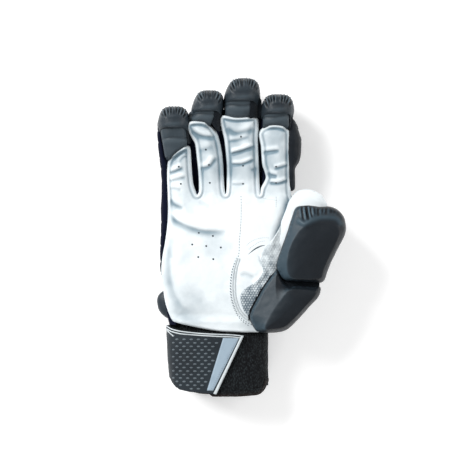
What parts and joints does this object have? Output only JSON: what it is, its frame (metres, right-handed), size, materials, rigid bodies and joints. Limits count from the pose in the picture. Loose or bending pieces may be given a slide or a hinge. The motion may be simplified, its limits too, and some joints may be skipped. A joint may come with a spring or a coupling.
{
  "type": "cricket batting glove",
  "caption": "Right-hand cricket batting glove lying palm up, with white leather front, padded back rolls, hooded finger ends, two thumb blocks and a strapped knitted cuff.",
  "frame": {"origin": "middle of the overall box, on the surface the padded back rests on", "axes": "+X towards the thumb, +Y towards the finger ends, +Z out of the palm"},
  "size_m": [0.1657, 0.2809, 0.0681],
  "materials": {
    "white_leather": "soft white leather, fine creases",
    "navy_fabric": "dull stretch fabric",
    "black_fabric": "dull black fabric",
    "slate_padding": "slate black coated leather, satin",
    "silver_patch": "silver grey embossed leather, satin",
    "light_piping": "light grey piping, satin",
    "black_knit": "black terry knit, matte",
    "strap_web": "dark embossed strap, satin"
  },
  "bodies": {
    "root": {"palm_leather": "white_leather", "gusset": "navy_fabric", "back_shell": "black_fabric", "thumb_leather": "white_leather", "cuff": "black_knit", "thumb_patch": "silver_patch", "thumb_piping": "light_piping", "strap_binding": "light_piping", "strap_stripe": "silver_patch", "strap": "strap_web", "finger_cap_little": "slate_padding", "finger_band_little": "slate_padding", "finger_cap_ring": "slate_padding", "finger_band_ring": "slate_padding", "finger_cap_middle": "slate_padding", "finger_band_middle": "slate_padding", "finger_cap_index": "slate_padding", "finger_band_index": "slate_padding", "side_bar": "slate_padding", "index_side_pad": "slate_padding", "wrist_pad": "slate_padding", "finger_pad_little_2": "slate_padding", "finger_pad_little_1": "slate_padding", "knuckle_pad_little": "slate_padding", "hand_roll_little": "slate_padding", "finger_pad_ring_2": "slate_padding", "finger_pad_ring_1": "slate_padding", "knuckle_pad_ring": "slate_padding", "hand_roll_ring": "slate_padding", "finger_pad_middle_2": "slate_padding", "finger_pad_middle_1": "slate_padding", "knuckle_pad_middle": "slate_padding", "hand_roll_middle": "slate_padding", "finger_pad_index_2": "slate_padding", "finger_pad_index_1": "slate_padding", "knuckle_pad_index": "slate_padding", "hand_roll_index": "slate_padding", "thumb_block_upper": "slate_padding", "thumb_block_lower": "slate_padding"}
  },
  "joints": []
}
